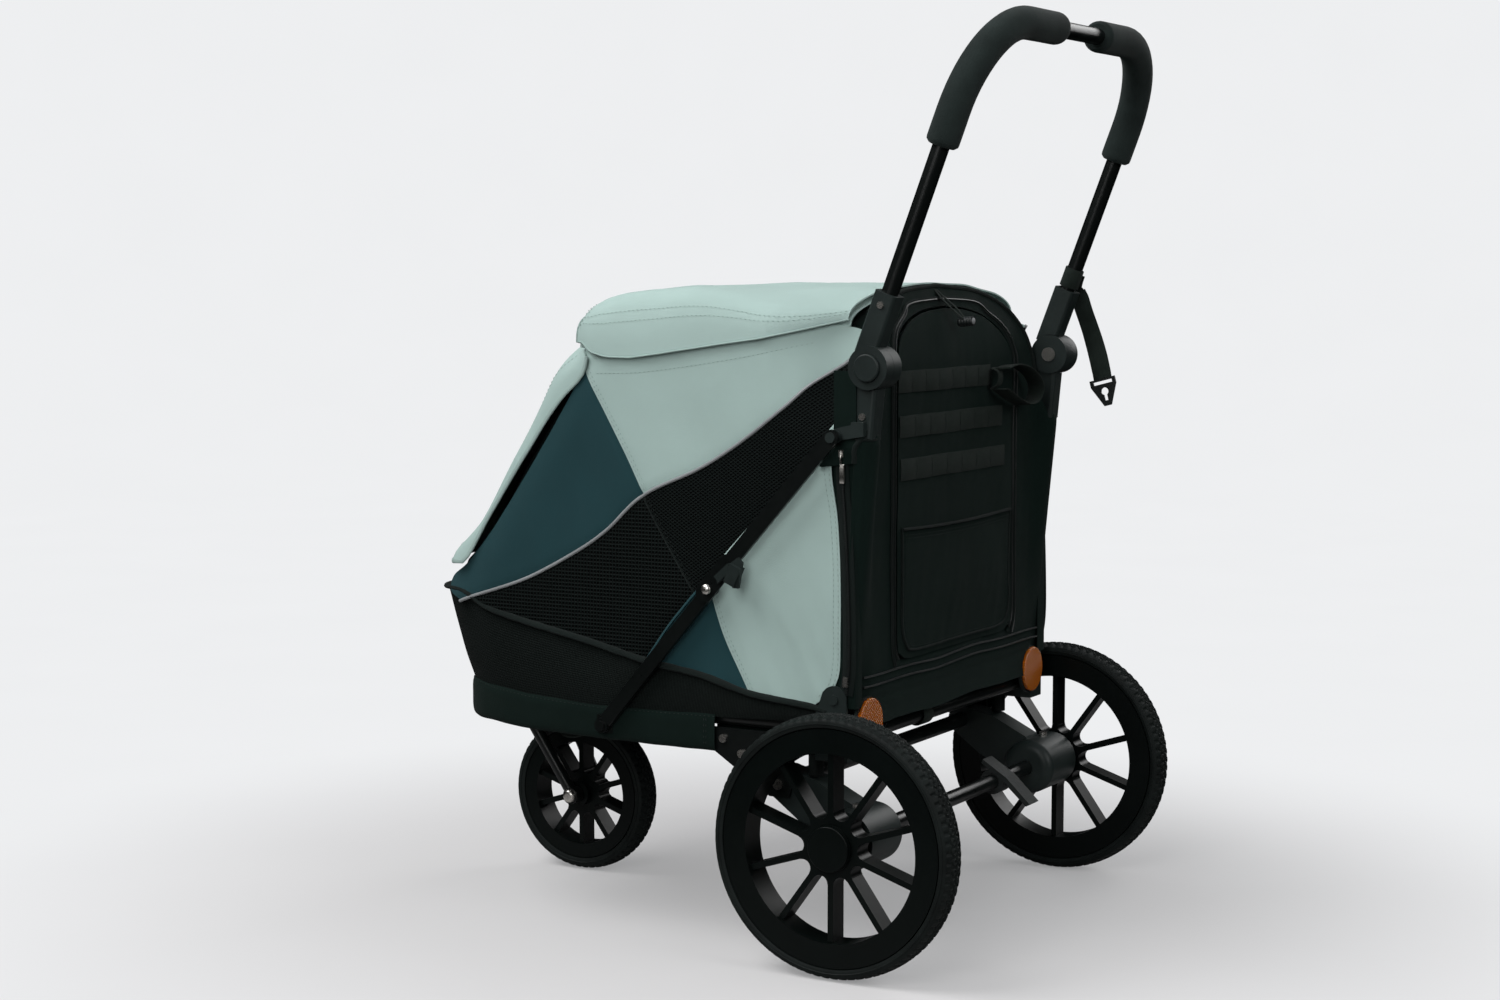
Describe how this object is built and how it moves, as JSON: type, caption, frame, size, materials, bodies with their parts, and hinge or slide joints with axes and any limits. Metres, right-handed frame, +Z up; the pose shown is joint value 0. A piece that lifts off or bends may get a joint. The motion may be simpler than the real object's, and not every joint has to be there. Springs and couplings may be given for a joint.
{
  "type": "pet stroller",
  "caption": "Folding pet stroller: fabric cabin with flaps and rear door on a tube frame, large rear wheels, front caster and tilting handle.",
  "frame": {"origin": "on the floor, at the middle of the stroller's footprint", "axes": "+Z up, -Y to the nose, +Y to the handle, +X to the stroller's left"},
  "size_m": [0.682, 0.8408, 1.102],
  "materials": {
    "frame_black": "satin black powder coat",
    "moulded_black": "fine moulded texture",
    "tyre_black": "matt rubber tread",
    "foam_grip": "closed-cell foam",
    "buffer_rubber": "matt rubber",
    "bright_steel": "nickel-plated steel",
    "board": "moulded board",
    "sage_fabric": "woven polyester, sage green",
    "black_fabric": "woven black polyester",
    "black_mesh": "black mesh",
    "webbing": "black webbing",
    "zip_black": "coil zip and small plastic",
    "mat_fabric": "quilted mat",
    "amber_lens": "amber reflector",
    "strap_metal": "black painted plate"
  },
  "bodies": {
    "base": {"side_rails": "frame_black", "lower_rails": "frame_black", "rear_cross_bar": "frame_black", "corner_brackets": "moulded_black", "pivot_cross_tube": "frame_black", "suspension_plates": "frame_black", "suspension_buffers": "buffer_rubber", "caster_head": "frame_black", "brace_feet": "frame_black", "reflectors": "amber_lens", "frame_rivets": "bright_steel", "floor_board": "board", "cushion": "mat_fabric", "lower_tub": "black_fabric", "side_panel_left": "sage_fabric", "side_panel_right": "sage_fabric", "roof_panel": "sage_fabric", "front_panel": "black_mesh", "rear_surround": "black_fabric"},
    "rear_door": {"rear_door": "black_fabric", "door_webbing": "webbing", "door_pocket": "black_fabric", "door_toggle": "zip_black"},
    "roof_flap": {"roof_flap": "sage_fabric"},
    "front_flap": {"front_flap": "sage_fabric"},
    "posts": {"rear_posts": "frame_black", "post_covers": "black_fabric", "lower_hinges": "moulded_black", "hinge_bolts": "bright_steel"},
    "handle": {"handle_tube": "frame_black", "grips": "foam_grip", "upper_hinges": "moulded_black", "handle_rivets": "bright_steel", "strap_loop": "webbing"},
    "strap": {"storage_strap": "webbing", "strap_plate": "strap_metal"},
    "hinge_button_left": {"hinge_button_left": "moulded_black"},
    "hinge_button_right": {"hinge_button_right": "moulded_black"},
    "lower_braces": {"lower_braces": "frame_black"},
    "upper_braces": {"upper_braces": "frame_black"},
    "brace_latch_left": {"brace_latch_left": "moulded_black"},
    "brace_latch_right": {"brace_latch_right": "moulded_black"},
    "rear_axle": {"axle_tube": "frame_black", "stub_axles": "bright_steel", "suspension_arms": "moulded_black", "hub_housings": "moulded_black"},
    "brake": {"brake_pedal": "moulded_black"},
    "release_left": {"release_button_left": "bright_steel"},
    "release_right": {"release_button_right": "bright_steel"},
    "rear_wheel_left": {"rear_tyre_left": "tyre_black", "rear_rim_left": "moulded_black", "hub_cap_left": "moulded_black"},
    "rear_wheel_right": {"rear_tyre_right": "tyre_black", "rear_rim_right": "moulded_black", "hub_cap_right": "moulded_black"},
    "caster": {"caster_fork": "frame_black", "caster_stem": "bright_steel", "front_axle": "bright_steel"},
    "front_wheel": {"front_tyre": "tyre_black", "front_rim": "moulded_black"}
  },
  "joints": [
    {"name": "frame_fold", "type": "hinge", "parent": "base", "child": "posts", "pos_m": [0, 0.22542, 0.312], "axis": [1, 0, 0], "range_deg": [0, 84], "deforming": ["cushion", "lower_tub", "side_panel_left", "side_panel_right", "roof_panel", "front_panel", "rear_surround", "rear_door", "door_webbing", "door_pocket", "door_toggle", "roof_flap", "front_flap", "post_covers"]},
    {"name": "handle_tilt", "type": "hinge", "parent": "posts", "child": "handle", "pos_m": [0, 0.26642, 0.694], "axis": [1, 0, 0], "range_deg": [-110, 20]},
    {"name": "strap_swing", "type": "hinge", "parent": "handle", "child": "strap", "pos_m": [0, 0.29034, 0.79299], "axis": [1, 0, 0], "range_deg": [-20.5, 110.5]},
    {"name": "lower_brace_swing", "type": "hinge", "parent": "base", "child": "lower_braces", "pos_m": [0, -0.08758, 0.256], "axis": [-1, 0, 0], "range_deg": [0, 53.1]},
    {"name": "upper_brace_swing", "type": "hinge", "parent": "posts", "child": "upper_braces", "pos_m": [0, 0.22842, 0.615], "axis": [1, 0, 0], "range_deg": [0, 22.1]},
    {"name": "rear_door_open", "type": "hinge", "parent": "base", "child": "rear_door", "pos_m": [0, 0.24742, 0.34], "axis": [-1, 0, 0], "range_deg": [0, 110]},
    {"name": "roof_flap_lift", "type": "hinge", "parent": "base", "child": "roof_flap", "pos_m": [0, 0.23942, 0.784], "axis": [-1, 0, 0], "range_deg": [0, 60]},
    {"name": "front_flap_lift", "type": "hinge", "parent": "base", "child": "front_flap", "pos_m": [0, -0.13458, 0.74], "axis": [-1, 0, 0], "range_deg": [0, 75]},
    {"name": "brace_latch_left_turn", "type": "hinge", "parent": "upper_braces", "child": "brace_latch_left", "pos_m": [0, 0.08442, 0.448], "axis": [1, 0, 0], "range_deg": [0, 18], "stiffness_Nm_per_rad": 0.4, "springref_deg": -17.19},
    {"name": "brace_latch_right_turn", "type": "hinge", "parent": "upper_braces", "child": "brace_latch_right", "pos_m": [0, 0.08442, 0.448], "axis": [1, 0, 0], "range_deg": [0, 18], "stiffness_Nm_per_rad": 0.4, "springref_deg": -17.19},
    {"name": "hinge_button_left_press", "type": "slide", "parent": "handle", "child": "hinge_button_left", "axis": [-1, 0, 0], "range_m": [0, 0.0035], "stiffness_N_per_m": 800, "springref_m": -0.004},
    {"name": "hinge_button_right_press", "type": "slide", "parent": "handle", "child": "hinge_button_right", "axis": [1, 0, 0], "range_m": [0, 0.0035], "stiffness_N_per_m": 800, "springref_m": -0.004},
    {"name": "suspension", "type": "hinge", "parent": "base", "child": "rear_axle", "pos_m": [0, 0.14942, 0.205], "axis": [1, 0, 0], "range_deg": [0, 5], "stiffness_Nm_per_rad": 60, "springref_deg": -20.05, "deforming": ["suspension_buffers"]},
    {"name": "brake_press", "type": "hinge", "parent": "rear_axle", "child": "brake", "pos_m": [0, 0.25142, 0.1525], "axis": [-1, 0, 0], "range_deg": [0, 22]},
    {"name": "release_left_press", "type": "slide", "parent": "rear_axle", "child": "release_left", "axis": [0, 0, -1], "range_m": [0, 0.003], "stiffness_N_per_m": 800, "springref_m": -0.003},
    {"name": "release_right_press", "type": "slide", "parent": "rear_axle", "child": "release_right", "axis": [0, 0, -1], "range_m": [0, 0.003], "stiffness_N_per_m": 800, "springref_m": -0.003},
    {"name": "rear_wheel_left_spin", "type": "hinge", "parent": "rear_axle", "child": "rear_wheel_left", "pos_m": [0, 0.25142, 0.1525], "axis": [1, 0, 0], "continuous": true},
    {"name": "rear_wheel_right_spin", "type": "hinge", "parent": "rear_axle", "child": "rear_wheel_right", "pos_m": [0, 0.25142, 0.1525], "axis": [1, 0, 0], "continuous": true},
    {"name": "caster_swivel", "type": "hinge", "parent": "base", "child": "caster", "pos_m": [0, -0.32858, 0.213], "axis": [0, 0, 1], "continuous": true},
    {"name": "front_wheel_spin", "type": "hinge", "parent": "caster", "child": "front_wheel", "pos_m": [0, -0.29758, 0.104], "axis": [1, 0, 0], "continuous": true}
  ],
  "couplings": [
    {"joint": "strap_swing", "follows": "handle_tilt", "ratio": -1},
    {"joint": "lower_brace_swing", "follows": "frame_fold", "ratio": 0.62986},
    {"joint": "upper_brace_swing", "follows": "frame_fold", "ratio": 0.26094}
  ]
}
